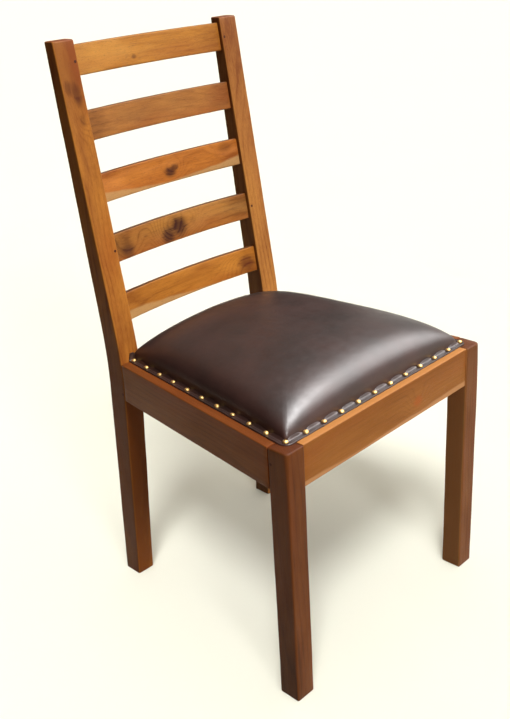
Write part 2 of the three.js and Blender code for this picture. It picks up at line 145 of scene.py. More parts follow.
# the direction from the chair to a light, for a turn and a height in degrees
def aimed(turn, height):
    turn, height = math.radians(turn), math.radians(height)
    return Vector((math.sin(turn) * math.cos(height), -math.cos(turn) * math.cos(height), math.sin(height)))


def makeSun(name, turn, height, power, spread):
    sun = bpy.data.lights.new(name, "SUN")
    sun.energy = power
    sun.angle = math.radians(spread)
    lamp = bpy.data.objects.new(name, sun)
    lamp.rotation_euler = aimed(turn, height).to_track_quat("Z", "Y").to_euler()
    bpy.context.scene.collection.objects.link(lamp)
    return lamp


# a soft pane that is there to be mirrored
def makePane(name, values):
    turn, height, power, size = values[name]
    pane = bpy.data.lights.new(name + "Light", "AREA")
    pane.shape = "RECTANGLE"
    pane.size, pane.size_y = size
    pane.energy = power
    lamp = bpy.data.objects.new(name + "Light", pane)
    lamp.location = Vector((0, 0, values["aim"])) + aimed(turn, height) * values["paneFar"]
    lamp.rotation_euler = aimed(turn, height).to_track_quat("Z", "Y").to_euler()
    lamp.visible_diffuse = False
    bpy.context.scene.collection.objects.link(lamp)


# The key and the fill light all but the floor, the other two suns only the floor.
def makeLights(values, floor):
    states = {"key": "EXCLUDE", "fill": "EXCLUDE", "floorHigh": "INCLUDE", "floorLow": "INCLUDE"}
    for name, state in states.items():
        lamp = makeSun(name + "Light", *values[name])
        linked = bpy.data.collections.new(name + "LightLinking")
        linked.objects.link(floor)
        linked.collection_objects[0].light_linking.link_state = state
        lamp.light_linking.receiver_collection = linked
        lamp.visible_glossy = name != "fill"      # the fill leaves no highlight
    makePane("window", values)
    makePane("softbox", values)


# The room lights the chair with a smooth step along X, from dark on the left to bright on
# the right, plus the ceiling times z^3. What is seen of it is pale low down and greyer
# overhead.
def makeRoom(values):
    world = bpy.data.worlds.new("room")
    world.use_nodes = True
    tree = world.node_tree
    tree.nodes.clear()
    place = addNode(tree, "TexCoord")
    split = addNode(tree, "SeparateXYZ", {0: place.outputs["Generated"]})
    side = addNode(tree, "MapRange", {
        "Value": split.outputs["X"], "From Min": values["roomStep"][0], "From Max": values["roomStep"][1],
        "To Min": values["roomDark"], "To Max": values["roomBright"],
    }, interpolation_type="SMOOTHSTEP")
    over = addNode(tree, "Math", {0: split.outputs["Z"], 1: 0.0}, operation="MAXIMUM")
    over = addNode(tree, "Math", {0: over, 1: 3.0}, operation="POWER")
    power = addNode(tree, "Math", {0: over, 1: values["ceiling"], 2: side}, operation="MULTIPLY_ADD")
    lit = addNode(tree, "Background", {"Color": linear("#fff8ee"), "Strength": power})
    rise = addNode(tree, "MapRange", {
        "Value": split.outputs["Z"], "From Min": values["wallStep"][0], "From Max": values["wallStep"][1],
        "To Min": 1.0, "To Max": values["wallTop"],
    }, interpolation_type="SMOOTHSTEP")
    seen = addNode(tree, "Background", {"Color": linear(values["skyPaint"]), "Strength": rise})
    mix = addNode(tree, "MixShader", {0: seenShare(tree), 1: lit, 2: seen})
    addNode(tree, "OutputWorld", {0: mix})
    bpy.context.scene.world = world


# one face that is no part of the chair
def flatSheet(name, corners, material):
    mesh = bpy.data.meshes.new(name)
    mesh.from_pydata(corners, [], [(0, 1, 2, 3)])
    mesh.materials.append(material)
    sheet = bpy.data.objects.new(name, mesh)
    bpy.context.scene.collection.objects.link(sheet)
    return sheet


# A pale painted floor, and dark cards to the left of the chair and behind it that are only
# seen mirrored. What the floor throws back on the chair is darker than what is seen of it.
def makeFloor(values):
    material, tree = newMaterial("paleFloorPaint")
    tone = addNode(tree, "Mix", {
        0: seenShare(tree), 6: linear(values["bouncePaint"]), 7: linear(values["seenPaint"]),
    }, data_type="RGBA")
    shader = addNode(tree, "BsdfDiffuse", {"Color": tone})
    addNode(tree, "OutputMaterial", {0: shader})
    far = 90.0
    floor = flatSheet("floor", [(-far, -far, 0), (far, -far, 0), (far, far, 0), (-far, far, 0)], material)
    material, tree = newMaterial("blackCardboard")
    shader = addNode(tree, "BsdfDiffuse", {"Color": linear(values["cardPaint"])})
    addNode(tree, "OutputMaterial", {0: shader})
    for name, (start, end, top) in values["cards"].items():
        sheet = flatSheet(name, [start + (0,), end + (0,), end + (top,), start + (top,)], material)
        sheet.visible_camera = False
        sheet.visible_shadow = False
        sheet.visible_diffuse = False
    return floor


makeRoom(light)
makeLights(light, makeFloor(light))
print("camera, lights and floor are in place")


# the four corners of every cell of a grid whose last column joins its first
def gridFaces(rows, columns):
    i = np.arange(rows - 1)[:, None] * columns
    j = np.arange(columns)[None, :]
    k = (j + 1) % columns
    return np.stack([i + j, i + k, i + columns + k, i + columns + j], -1).reshape(-1, 4)


# a fan of triangles from a ring of points to the point in its middle
def ringFan(first, columns, middle):
    j = np.arange(columns)
    return np.stack([first + j, first + (j + 1) % columns, np.full(columns, middle)], -1)


# A mesh from points in millimetres. The sum of a . (b x c) over its triangles is six times
# its volume, and tells whether the faces point out.
def makePiece(name, points, quads, triangles, material, sharpOver=38, attributes=None, slot=None):
    quads = np.asarray(quads, int).reshape(-1, 4)
    triangles = np.asarray(triangles, int).reshape(-1, 3)
    fan = np.concatenate([quads[:, [0, 1, 2]], quads[:, [0, 2, 3]], triangles])
    a, b, c = points[fan[:, 0]], points[fan[:, 1]], points[fan[:, 2]]
    if np.einsum("ij,ij->i", a, np.cross(b, c)).sum() < 0:
        quads, triangles = quads[:, ::-1], triangles[:, ::-1]
    mesh = bpy.data.meshes.new(name)
    mesh.from_pydata((points * mm).tolist(), [], quads.tolist() + triangles.tolist())
    for key, values in (attributes or {}).items():
        layer = mesh.attributes.new(key, "FLOAT", "POINT")
        layer.data.foreach_set("value", np.asarray(values, np.float32))
    mesh.polygons.foreach_set("use_smooth", [True] * len(mesh.polygons))
    mesh.set_sharp_from_angle(angle=math.radians(sharpOver))
    mesh.materials.append(material)
    piece = bpy.data.objects.new(name, mesh)
    bpy.context.scene.collection.objects.link(piece)
    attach(piece, "root")
    return piece


# One mesh of forms that are alike. Each row of points holds the rings of one form, and then
# the middles of its first and its last ring, to which fans close it.
def makeForms(name, points, rows, columns, material, **more):
    base = np.arange(len(points))[:, None, None] * points.shape[1]
    firstFan = ringFan(0, columns, rows * columns)[:, [1, 0, 2]]
    lastFan = ringFan((rows - 1) * columns, columns, rows * columns + 1)
    fans = np.concatenate([firstFan, lastFan]) + base
    return makePiece(name, points.reshape(-1, 3), gridFaces(rows, columns) + base, fans, material, **more)


# one form from rings of equally many points; edges says how near each point of a ring lies
# to a corner
def closedLoft(name, rings, material, edges=None, **more):
    rows, columns = rings.shape[:2]
    points = np.concatenate([rings.reshape(-1, 3), rings[:1].mean(1), rings[-1:].mean(1)])
    if edges is not None:
        more["attributes"] = {"worn": np.append(np.tile(edges, rows), [0.0, 0.0])}
    return makeForms(name, points[None], rows, columns, material, **more)


# Places along a piece and how far each ring is drawn in. Along a quarter circle at an end
# the distance to the end is bevel (1 - cos t), and the ring is drawn in by bevel (1 - sin t).
def bevelledRun(start, end, steps, startBevel, endBevel, bevelSteps=5):
    turn = np.linspace(0, math.pi / 2, bevelSteps)
    body = np.linspace(start + startBevel, end - endBevel, steps)[1:-1]
    places = [start + startBevel * (1 - np.cos(turn)), body, end - endBevel * (1 - np.cos(turn[::-1]))]
    insets = [startBevel * (1 - np.sin(turn)), 0 * body, endBevel * (1 - np.sin(turn[::-1]))]
    return np.concatenate(places), np.concatenate(insets)


# A rounded rectangle for each ring: quarter circles at its corners, joined by straight runs.
# Gives the points, and how near each lies to the middle of a corner.
def roundedSection(a0, a1, b0, b1, radius, cornerSteps=7, sideSteps=6):
    a0, a1, b0, b1 = (np.asarray(x, float)[:, None] for x in np.broadcast_arrays(a0, a1, b0, b1))
    radius = np.broadcast_to(np.asarray(radius, float), (len(a0), 4))
    share = np.linspace(0, 1, cornerSteps)
    turn = (np.arange(4)[:, None] + share[None, :]) * math.pi / 2
    middleA = np.where(np.array([1, 0, 0, 1]), a1 - radius, a0 + radius)
    middleB = np.where(np.array([1, 1, 0, 0]), b1 - radius, b0 + radius)
    arcs = np.stack([
        middleA[:, :, None] + radius[:, :, None] * np.cos(turn),
        middleB[:, :, None] + radius[:, :, None] * np.sin(turn),
    ], -1)
    nextStart = np.roll(arcs[:, :, :1], -1, axis=1)
    step = (np.arange(sideSteps) + 1)[:, None] / (sideSteps + 1)
    sides = arcs[:, :, -1:] * (1 - step) + nextStart * step
    ring = np.concatenate([arcs, sides], 2).reshape(len(a0), -1, 2)
    nearness = np.concatenate([np.sin(share * math.pi), np.zeros(sideSteps)])
    return ring, np.tile(nearness, 4)


# How unevenly a hand has sanded an edge: per corner, the radius plus half the amount times
# three sines of unlike lengths.
def sanded(along, seed, radius, amount):
    phase = seed + np.arange(4) * 1.7
    along = np.asarray(along)[:, None]
    wave = np.sin(along / 41 + phase) + 0.7 * np.sin(along / 19 + 2.3 * phase)
    wave = wave + 0.4 * np.sin(along / 8 + 4.1 * phase)
    return radius + amount * wave / 2


# Hardwood, planed, sanded, stained and waxed: growth rings show as long dark lines that bend
# round knots, the pores as short dashes, and the wax gives a soft gloss. Each piece's own
# values go over these.
wood = {
    "ringSpacing": 9.0,       # mm, as are the other lengths
    "ragged": 3.15,           # how far streaks fray the rings
    "streakWidth": 1.6,
    "streakLength": 70,
    "poreWidth": 0.5,
    "poreLength": 9,
    "patchWidth": 42,
    "patchLength": 170,
    "warp": 44,
    "warpWidth": 60,
    "warpLength": 360,
    "roughness": 0.42,
    "turn": 0,                # degrees about Z
    "goldness": 0.0,          # how far the golden patches, a painted sheen, go to gold
    "gold": "#e29a45",
    "redness": 0.4,
    "wear": 0.75,
    "knots": (),              # (across, along, radius, how much longer than wide, depth of colour)
    "darkerAlong": (),            # darker stretches along the piece, some of them painted shade: (from, to, how much)
    "faces": (),              # painted light and shade on faces that look one way: (the way it faces, tone, how much)
}


# Ring value: the distance from a slightly tilted pith, pushed outward near knots and bent by
# long noise, over the ring spacing; its fraction runs light to dark and back at once.
def woodFinish(name, ownValues):
    values = {**wood, **ownValues}
    material, tree = newMaterial(name)
    place = addNode(tree, "TexCoord")
    fit = addNode(tree, "Mapping", {
        "Vector": place.outputs["Object"], "Location": tuple(v * mm for v in values["centre"]),
        "Rotation": (0, 0, math.radians(values["turn"])), "Scale": (mm, mm, mm),
    }, vector_type="TEXTURE")
    split = addNode(tree, "SeparateXYZ", {0: fit})
    across, depth, along = (split.outputs["XYZ".index(letter)] for letter in values["axes"])
    grain = addNode(tree, "CombineXYZ", {0: across, 1: depth, 2: along})
    seed = values["seed"]
    slow = addNode(tree, "Mapping", {
        "Vector": grain, "Location": (seed, 2 * seed, 3 * seed),
        "Scale": (1 / values["warpWidth"], 1 / values["warpWidth"], 1 / values["warpLength"]),
    })
    drift = addNode(tree, "TexNoise", {"Vector": slow, "Scale": 1.0, "Detail": 2.0, "Roughness": 0.45})
    bend = addNode(tree, "VectorMath", {0: drift.outputs["Color"], 1: (0.5, 0.5, 0.5)}, operation="SUBTRACT")
    bend = addNode(tree, "VectorMath", {
        0: bend, 1: (values["warp"],) * 3, 2: grain,
    }, operation="MULTIPLY_ADD")
    pith = addNode(tree, "Mapping", {
        "Vector": bend, "Location": (values["pith"][0], values["pith"][1], 0),
        "Rotation": (math.radians(values["lean"][0]), math.radians(values["lean"][1]), 0),
    })
    flat = addNode(tree, "VectorMath", {0: pith, 1: (1, 1, 0)}, operation="MULTIPLY")
    radius = addNode(tree, "VectorMath", {0: flat}, operation="LENGTH").outputs["Value"]

    fine = addNode(tree, "Mapping", {
        "Vector": grain,
        "Scale": (1 / values["streakWidth"], 1 / values["streakWidth"], 1 / values["streakLength"]),
    })
    streak = addNode(tree, "TexNoise", {"Vector": fine, "Scale": 1.0, "Detail": 3.0, "Roughness": 0.6})
    wide = addNode(tree, "Mapping", {
        "Vector": grain, "Location": (5 * seed, seed, 0),
        "Scale": (1 / values["patchWidth"], 1 / values["patchWidth"], 1 / values["patchLength"]),
    })
    patch = addNode(tree, "TexNoise", {"Vector": wide, "Scale": 1.0, "Detail": 3.0, "Roughness": 0.55})
    tints = addNode(tree, "SeparateColor", {0: patch.outputs["Color"]})
    short = addNode(tree, "Mapping", {
        "Vector": grain,
        "Scale": (1 / values["poreWidth"], 1 / values["poreWidth"], 1 / values["poreLength"]),
    })
    pore = addNode(tree, "TexNoise", {"Vector": short, "Scale": 1.0, "Detail": 1.0})
    pore = addNode(tree, "MapRange", {
        "Value": pore, "From Min": 0.6, "From Max": 0.72, "To Min": 0.0, "To Max": 1.0,
    }, interpolation_type="SMOOTHSTEP")

    # knots are bent a quarter as much as the rings, and push them outward
    cores = []
    for knotAcross, knotAlong, size, stretch, strength in values["knots"]:
        off = addNode(tree, "VectorMath", {0: bend, 1: grain}, operation="SUBTRACT")
        off = addNode(tree, "VectorMath", {0: off, 1: (0.25, 0, 0.25), 2: grain}, operation="MULTIPLY_ADD")
        off = addNode(tree, "VectorMath", {0: off, 1: (knotAcross, 0, knotAlong)}, operation="SUBTRACT")
        fit = (1 / size, 0, 1 / (size * stretch))
        off = addNode(tree, "VectorMath", {0: off, 1: fit}, operation="MULTIPLY")
        far = addNode(tree, "VectorMath", {0: off}, operation="LENGTH").outputs["Value"]
        push = addNode(tree, "MapRange", {
            "Value": far, "From Min": 0.0, "From Max": 3.2, "To Min": size * 1.9, "To Max": 0.0,
        }, interpolation_type="SMOOTHERSTEP")
        radius = addNode(tree, "Math", {0: radius, 1: push}, operation="ADD")
        ragged = addNode(tree, "Math", {0: streak, 1: 0.9, 2: far}, operation="MULTIPLY_ADD")
        cores.append(addNode(tree, "MapRange", {
            "Value": ragged, "From Min": 0.75, "From Max": 1.5, "To Min": strength, "To Max": 0.0,
        }, interpolation_type="SMOOTHSTEP"))

    ring = addNode(tree, "Math", {0: streak, 1: values["ragged"], 2: radius}, operation="MULTIPLY_ADD")
    ring = addNode(tree, "Math", {0: ring, 1: values["ringSpacing"]}, operation="DIVIDE")
    ring = addNode(tree, "Math", {0: ring}, operation="FRACT")
    late = addNode(tree, "ValToRGB", {0: ring})
    ramp = late.color_ramp
    ramp.elements[0].color = (0.16, 0.16, 0.16, 1)
    ramp.elements[1].color = (0.2, 0.2, 0.2, 1)
    for stop, tone in ((0.3, 0.05), (0.62, 0.3), (0.86, 1.0), (0.93, 0.8)):
        ramp.elements.new(stop).color = (tone, tone, tone, 1)

    # How dark: ring lines, strong in one place and faint in the next, then slow patches,
    # darker stretches along the piece (some of them painted shade) and fine streaks.
    depthOfRings = addNode(tree, "MapRange", {
        "Value": tints.outputs[1], "From Min": 0.36, "From Max": 0.64, "To Min": 0.25, "To Max": 1.25,
    })
    dark = addNode(tree, "Math", {0: late, 1: values["ringDepth"]}, operation="MULTIPLY")
    dark = addNode(tree, "Math", {0: dark, 1: depthOfRings}, operation="MULTIPLY")
    mottle = addNode(tree, "MapRange", {
        "Value": patch, "From Min": 0.32, "From Max": 0.7, "To Min": 0.0, "To Max": values["patchDepth"],
    })
    dark = addNode(tree, "Math", {0: dark, 1: mottle}, operation="ADD")
    for start, stop, amount in values["darkerAlong"]:
        darkerAlong = addNode(tree, "MapRange", {
            "Value": along, "From Min": start, "From Max": stop, "To Min": 0.0, "To Max": amount,
        }, interpolation_type="SMOOTHSTEP")
        dark = addNode(tree, "Math", {0: dark, 1: darkerAlong}, operation="ADD")
    thread = addNode(tree, "MapRange", {
        "Value": streak, "From Min": 0.35, "From Max": 0.68, "To Min": -0.1, "To Max": 0.24,
    })
    dark = addNode(tree, "Math", {0: dark, 1: thread}, operation="ADD", use_clamp=True)
    colour = addNode(tree, "Mix", {
        0: dark, 6: linear(values["light"]), 7: linear(values["dark"]),
    }, data_type="RGBA")

    # What goes over that, each with its share and tone: golden patches, a painted sheen where
    # the grain catches the light, then redder heart in slow patches.
    layers = [(addNode(tree, "MapRange", {
        "Value": tints.outputs[2], "From Min": 0.48, "From Max": 0.66,
        "To Min": 0.0, "To Max": values["goldness"],
    }, interpolation_type="SMOOTHSTEP"), values["gold"])]
    layers.append((addNode(tree, "MapRange", {
        "Value": drift, "From Min": 0.46, "From Max": 0.66, "To Min": 0.0, "To Max": values["redness"],
    }, interpolation_type="SMOOTHSTEP"), values["red"]))

    # sapwood below the line edge + slope * along + bow * along^2, streaked and ragged
    if "sapwood" in values:
        edge, slope, bow = values["sapwood"]
        line = addNode(tree, "Math", {0: along, 1: bow, 2: slope}, operation="MULTIPLY_ADD")
        line = addNode(tree, "Math", {0: line, 1: along, 2: edge}, operation="MULTIPLY_ADD")
        line = addNode(tree, "Math", {0: line, 1: across}, operation="SUBTRACT")
        line = addNode(tree, "Math", {0: patch, 1: 14.0, 2: line}, operation="MULTIPLY_ADD")
        line = addNode(tree, "Math", {0: streak, 1: 6.0, 2: line}, operation="MULTIPLY_ADD")
        layers.append((addNode(tree, "MapRange", {
            "Value": line, "From Min": 8.0, "From Max": 12.5, "To Min": 0.0, "To Max": 0.7,
        }, interpolation_type="SMOOTHSTEP"), values["pale"]))
    # the top face painted paler, from a given height across the piece on: a painted highlight
    if "highlightTop" in values:
        layers.append((addNode(tree, "MapRange", {
            "Value": across, "From Min": values["highlightTop"], "From Max": values["highlightTop"] + 1.2,
            "To Min": 0.0, "To Max": 0.9,
        }), values["highlightTone"]))

    # knots, with the rings still showing in them, and pores
    ringed = addNode(tree, "MapRange", {"Value": late, "To Min": 0.84, "To Max": 1.15})
    for core in cores:
        core = addNode(tree, "Math", {0: core, 1: ringed}, operation="MULTIPLY", use_clamp=True)
        layers.append((core, values["knot"]))
    layers.append((addNode(tree, "Math", {0: pore, 1: 0.42}, operation="MULTIPLY"), values["knot"]))

    # sanded edges are a little paler
    worn = addNode(tree, "Attribute", attribute_name="worn", attribute_type="GEOMETRY")
    rub = addNode(tree, "Math", {0: worn.outputs["Fac"], 1: patch}, operation="MULTIPLY")
    layers.append((addNode(tree, "Math", {0: rub, 1: values["wear"]}, operation="MULTIPLY"), values["light"]))

    # painted light and shade on faces that look one way, and end grain, which drinks more stain
    normal = addNode(tree, "NewGeometry").outputs["Normal"]
    for direction, tone, amount in values["faces"]:
        turned = addNode(tree, "VectorMath", {0: normal, 1: direction}, operation="DOT_PRODUCT")
        layers.append((addNode(tree, "MapRange", {
            "Value": turned.outputs["Value"], "From Min": 0.6, "From Max": 0.95,
            "To Min": 0.0, "To Max": amount,
        }, interpolation_type="SMOOTHSTEP"), tone))
    axis = tuple(1.0 if letter == values["axes"][2] else 0.0 for letter in "XYZ")
    facing = addNode(tree, "VectorMath", {0: normal, 1: axis}, operation="DOT_PRODUCT")
    facing = addNode(tree, "Math", {0: facing.outputs["Value"]}, operation="ABSOLUTE")
    layers.append((addNode(tree, "MapRange", {
        "Value": facing, "From Min": 0.75, "From Max": 0.95, "To Min": 0.0, "To Max": 0.5,
    }), values["red"]))
    for share, tone in layers:
        colour = addNode(tree, "Mix", {0: share, 6: colour, 7: linear(tone)}, data_type="RGBA")

    gloss = addNode(tree, "MapRange", {
        "Value": patch, "From Min": 0.3, "From Max": 0.7,
        "To Min": values["roughness"] - 0.06, "To Max": values["roughness"] + 0.1,
    })
    height = addNode(tree, "Math", {0: pore, 1: -0.8, 2: streak}, operation="MULTIPLY_ADD")
    height = addNode(tree, "Math", {0: late, 1: 0.5, 2: height}, operation="MULTIPLY_ADD")
    bump = addNode(tree, "Bump", {"Strength": 0.5, "Distance": 0.00022, "Height": height})
    shader = addNode(tree, "BsdfPrincipled", {
        "Base Color": colour, "Roughness": gloss, "Normal": bump, "Specular IOR Level": 0.09,
    })
    addNode(tree, "OutputMaterial", {0: shader})
    return material


posts = {
    "outer": 197.0,
    "width": (35.0, 40.0),     # at the floor, and from fullWidth up
    "fullWidth": 380.0,
    "height": 974.0,
    "seat": 450.0,
    "bend": 120.0,             # length of the curve at the seat
    "front": (188.88, 159.88, 235.88),    # y of the front face at the floor, the seat and the top
    "back": (226.88, 200.88, 258.88),
    "edge": 2.6,               # radius of the sanded edges
    "uneven": 0.5,
    "foot": 2.0,               # how far the ends are rounded over
    "crown": 2.4,
    "left": {
        "seed": 3.0, "centre": (-177, 200, 700), "axes": "XYZ", "pith": (34, 20), "lean": (1.2, -1.6),
        "light": "#c07a30", "dark": "#84471a", "red": "#9c4c1c", "knot": "#5c2c12",
        "ringDepth": 0.35, "patchDepth": 0.6, "goldness": 0.3, "gold": "#cf8838",
        "knots": ((5, 192, 12, 2.1, 0.85), (5, 152, 8, 1.6, 0.5), (-10, 204, 10, 1.6, 0.6)),
        # The two lower darker stretches go on down to the floor; below the seat they are painted shade, the
        # seat's shadow on the post.
        "darkerAlong": ((150, 240, 0.9), (-130, -240, 0.45), (-270, -330, 0.7)),
        # its left faces are painted darker: painted shade
        "faces": (((-1, 0, 0), "#4a2412", 0.5),),
    },
    "right": {
        "seed": 8.0, "centre": (177, 200, 700), "axes": "XYZ", "pith": (-42, 26), "lean": (-1.0, 1.4),
        "light": "#c6853f", "dark": "#864a20", "red": "#94502b", "knot": "#45200e",
        "ringDepth": 0.4, "patchDepth": 0.55, "goldness": 0.25, "gold": "#cd8c45",
        "darkerAlong": ((60, 260, 0.6),),
        # its inner faces, towards the chair's middle, are painted darker: painted shade
        "faces": (((-1, 0, 0), "#3c1c10", 0.6),),
    },
}


# A post's face leans forward to the seat and back above it, and a curve joins the two:
# y = seat + lower (z - seatZ) + (upper - lower) (into^2 / (2 bend) + past), where into is how
# far z has come into the curve and past how far beyond it.
def postLine(z, face):
    foot, seat, top = posts[face]
    rise, bend = posts["seat"], posts["bend"]
    lower, upper = (seat - foot) / rise, (top - seat) / (posts["height"] - rise)
    into, past = np.clip(z - (rise - bend / 2), 0, bend), np.maximum(z - (rise + bend / 2), 0)
    return seat + lower * (z - rise) + (upper - lower) * (into ** 2 / (2 * bend) + past)


# rings up a post; grow makes it thicker all round
def postRings(values, side, grow=0.0, steps=64):
    z, inset = bevelledRun(-grow, values["height"] + grow, steps, values["foot"], values["crown"], 6)
    inset = inset - grow
    thick, wide = values["width"]
    width = thick + (wide - thick) * np.clip(z / values["fullWidth"], 0, 1)
    radius = sanded(z, 1.0 + side, values["edge"], values["uneven"])
    ring, nearness = roundedSection(
        -values["outer"] + inset, -values["outer"] + width - inset,
        postLine(z, "front") + inset, postLine(z, "back") - inset, radius)
    rings = np.concatenate([ring, np.broadcast_to(z[:, None, None], ring.shape[:2] + (1,))], -1)
    if side > 0:
        rings = rings * np.array([-1, 1, 1])
    return rings, nearness


for side, key in ((-1, "left"), (1, "right")):
    finish = woodFinish("stainedHardwoodPost" + key.capitalize(), posts[key])
    rings, nearness = postRings(posts, side)
    post = closedLoft("rearPost" + key.capitalize(), rings, finish, nearness, slot="hardwood")
    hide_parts("rear_post_" + key)
print("posts made")

legs = {
    "x": (-244.0, -207.0),
    "y": (-263.12, -225.12),
    "height": 450.0,
    "edge": 2.6,
    "uneven": 0.6,
    "softCorner": 5.0,         # what the outer front corner's radius gains
    "softOver": 110.0,         # over this much of the top
    "bevel": 2.8,
    "left": {
        "seed": 5.0, "centre": (-225, -244, 225), "axes": "XYZ", "pith": (-30, 24), "lean": (0.9, 1.2),
        "light": "#76411c", "dark": "#4b260f", "red": "#6f3518", "knot": "#34180d",
        "ringDepth": 0.35, "patchDepth": 0.65,
    },
    "right": {
        "seed": 11.0, "centre": (225, -244, 225), "axes": "XYZ", "pith": (28, 30), "lean": (-1.1, 1.0),
        "light": "#86522b", "dark": "#5b331a", "red": "#743b20", "knot": "#34180d",
        # its left face is painted paler: painted light
        "ringDepth": 0.35, "patchDepth": 0.6, "faces": (((-1, 0, 0), "#c38450", 0.75),),
    },
}

for side, key in ((-1, "left"), (1, "right")):
    finish = woodFinish("stainedHardwoodLeg" + key.capitalize(), legs[key])
    z, inset = bevelledRun(0, legs["height"], 40, legs["bevel"], legs["bevel"], 5)
    radius = sanded(z, 4.0 + side, legs["edge"], legs["uneven"])
    radius[:, 2] += legs["softCorner"] * np.clip((z - legs["height"]) / legs["softOver"] + 1, 0, 1) ** 2
    ring, nearness = roundedSection(
        legs["x"][0] + inset, legs["x"][1] - inset, legs["y"][0] + inset, legs["y"][1] - inset, radius)
    rings = np.concatenate([ring, np.broadcast_to(z[:, None, None], ring.shape[:2] + (1,))], -1)
    rings = rings * np.array([-side, 1, 1])
    leg = closedLoft("frontLeg" + key.capitalize(), rings, finish, nearness, slot="hardwood")
    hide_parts("front_leg_" + key)
print("front legs made")

rails = {
    "z": (380.0, 450.0),
    "edge": 1.8,
    "uneven": 0.35,
    "front": {"x": 206.7, "y": (-260.62, -230.62)},
    "back": {"x": 156.7, "y": (165.88, 195.88)},
    # from the legs' back faces, at the outer width, it runs in by the tangent
    "side": {"outer": 244.0, "legBack": -225.12, "tangent": 47 / 385, "thick": 30.0, "gap": 0.3},
    "frontWood": {
        "seed": 14.0, "centre": (0, -245, 415), "axes": "ZYX", "pith": (44, 20), "lean": (1.4, 2.2),
        "light": "#9f632a", "dark": "#75441b", "red": "#904a1c", "pale": "#cc9563", "knot": "#ab561f",
        "ringDepth": 0.28, "patchDepth": 0.6, "redness": 0.35, "sapwood": (-27.5, 0.01, 0.00007),
        # its top face is painted paler: a painted highlight
        "knots": ((-8, 69, 13, 1.15, 0.75),), "highlightTop": 33.4, "highlightTone": "#dc9450",
    },
    "backWood": {
        "seed": 17.0, "centre": (0, 181, 415), "axes": "ZYX", "pith": (-40, 24), "lean": (1.0, -1.5),
        "light": "#a56832", "dark": "#74421c", "red": "#8d4c28", "knot": "#4a2412",
        "ringDepth": 0.5, "patchDepth": 0.5,
    },
    "leftWood": {
        "seed": 21.0, "centre": (-220, -33, 415), "turn": -6.96, "axes": "ZXY",
        "pith": (48, 26), "lean": (1.0, 1.6),
        "light": "#955422", "dark": "#663612", "red": "#853d18", "knot": "#4a2412",
        "ringDepth": 0.35, "patchDepth": 0.5,
    },
    "rightWood": {
        "seed": 25.0, "centre": (220, -33, 415), "turn": 6.96, "axes": "ZXY",
        "pith": (-46, -22), "lean": (-1.2, 1.3),
        "light": "#a4642e", "dark": "#74411f", "red": "#934b27", "knot": "#4a2412",
        "ringDepth": 0.5, "patchDepth": 0.5,
    },
}

for key in ("front", "back"):
    finish = woodFinish("stainedHardwood" + key.capitalize() + "Rail", rails[key + "Wood"])
    x, inset = bevelledRun(-rails[key]["x"], rails[key]["x"], 48, 0.6, 0.6, 3)
    near, far = rails[key]["y"]
    ring, nearness = roundedSection(
        near + inset, far - inset, rails["z"][0] + inset, rails["z"][1] - inset,
        sanded(x, 7.0 + near, rails["edge"], rails["uneven"]))
    rings = np.concatenate([np.broadcast_to(x[:, None, None], ring.shape[:2] + (1,)), ring], -1)
    rail = closedLoft(key + "Rail", rings, finish, nearness, slot="hardwood")
    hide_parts(key + "_rail")

slant = rails["side"]["tangent"]
slantLength = math.sqrt(1 + slant ** 2)


# x of a line beside the right side rail, so far in from its outer face
def insideRail(y, inset):
    side = rails["side"]
    return side["outer"] - (y - side["legBack"]) * slant - inset * slantLength


# a side rail's rear end follows the post's lean
for side, key in ((-1, "left"), (1, "right")):
    values = rails["side"]
    finish = woodFinish("stainedHardwoodSideRail" + key.capitalize(), rails[key + "Wood"])
    share, inset = bevelledRun(0, 1000, 48, 1.5, 1.5, 3)
    inset = inset * 0.4
    ring, nearness = roundedSection(
        inset, values["thick"] * slantLength - inset, rails["z"][0] + inset, rails["z"][1] - inset,
        sanded(share / 3, 9.0 + side, rails["edge"], rails["uneven"]))
    z = ring[:, :, 1]
    start = values["legBack"] + values["gap"]
    y = start + share[:, None] / 1000 * (postLine(z, "front") - values["gap"] - start)
    rings = np.stack([side * (insideRail(y, 0) - ring[:, :, 0]), y, z], -1)
    rail = closedLoft("sideRail" + key.capitalize(), rings, finish, nearness, slot="hardwood")
    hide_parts("side_rail_" + key)
print("rails made")

